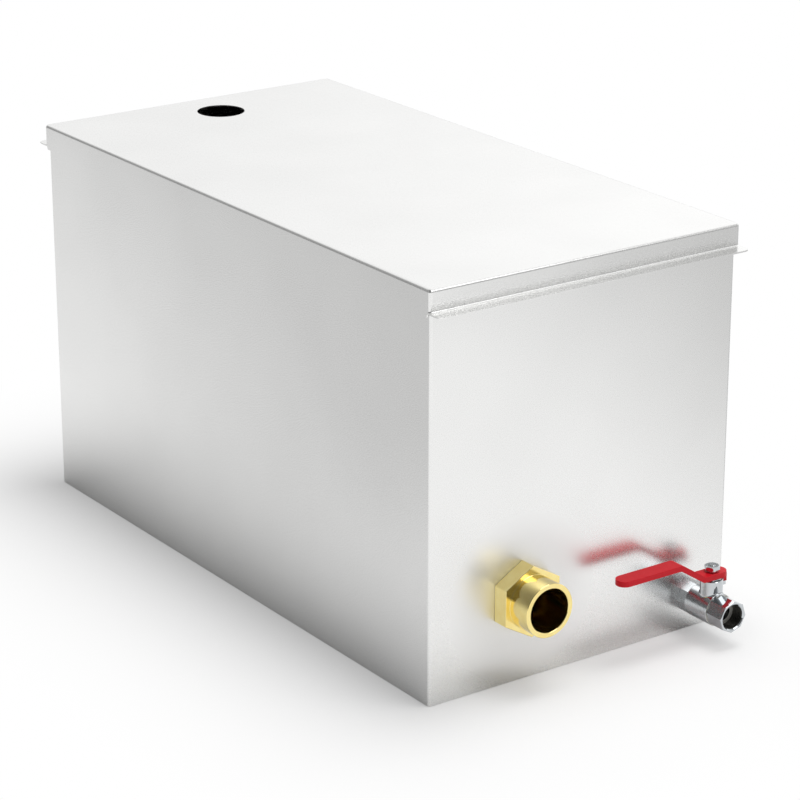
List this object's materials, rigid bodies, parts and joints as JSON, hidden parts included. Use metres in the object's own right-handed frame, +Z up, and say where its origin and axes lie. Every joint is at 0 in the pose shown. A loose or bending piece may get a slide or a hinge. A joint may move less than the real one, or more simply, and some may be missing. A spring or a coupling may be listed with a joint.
{
  "type": "grease trap",
  "caption": "Stainless steel under-sink grease trap with a skirted lift-off lid, brass outlet fitting and a chromed drain ball valve with a red lever.",
  "frame": {"origin": "middle of the tank's underside", "axes": "+Z up, +Y along the tank towards the inlet end, -Y towards the end wall with the outlet and drain valve, +X towards the drain valve's side"},
  "size_m": [0.3104, 0.6702, 0.35],
  "materials": {
    "tank_sheet": "satin, lightly reflecting",
    "inner_sheet": "mill",
    "brass": "machined, bright",
    "chrome": "polished plating",
    "lever_red": "satin coating",
    "rubber": "matt",
    "seat_plastic": "matt"
  },
  "bodies": {
    "tank": {"tank_walls": "tank_sheet", "tank_floor": "inner_sheet", "rim_gasket": "rubber", "inlet_channel_left": "inner_sheet", "inlet_channel_right": "inner_sheet", "outlet_channel_left": "inner_sheet", "outlet_channel_right": "inner_sheet", "inlet_baffle": "inner_sheet", "outlet_baffle": "inner_sheet", "basket_rail_left": "inner_sheet", "basket_rail_right": "inner_sheet", "strainer_basket": "inner_sheet", "basket_handle": "inner_sheet", "outlet_fitting": "brass", "outlet_outer_washer": "rubber", "outlet_inner_washer": "rubber", "outlet_backnut": "brass", "outlet_elbow": "brass", "standpipe": "inner_sheet", "valve_nipple": "brass", "valve_outer_washer": "rubber", "valve_inner_washer": "rubber", "valve_locknut": "brass", "valve_body": "chrome", "valve_end_cap": "chrome", "inner_seat": "seat_plastic", "outer_seat": "seat_plastic", "stem_packing": "seat_plastic", "gland_nut": "chrome"},
    "drain_lever": {"valve_ball": "chrome", "valve_stem": "chrome", "valve_lever": "lever_red", "lever_nut": "chrome"},
    "lid": {"lid": "tank_sheet"}
  },
  "joints": [
    {"name": "drain_lever_turn", "type": "hinge", "parent": "tank", "child": "drain_lever", "pos_m": [0.1175, -0.3262, 0.0605], "axis": [0, 0, 1], "range_deg": [0, 90]},
    {"name": "lid_lift", "type": "slide", "parent": "tank", "child": "lid", "axis": [0, 0, 1], "range_m": [0, 0.2]}
  ]
}
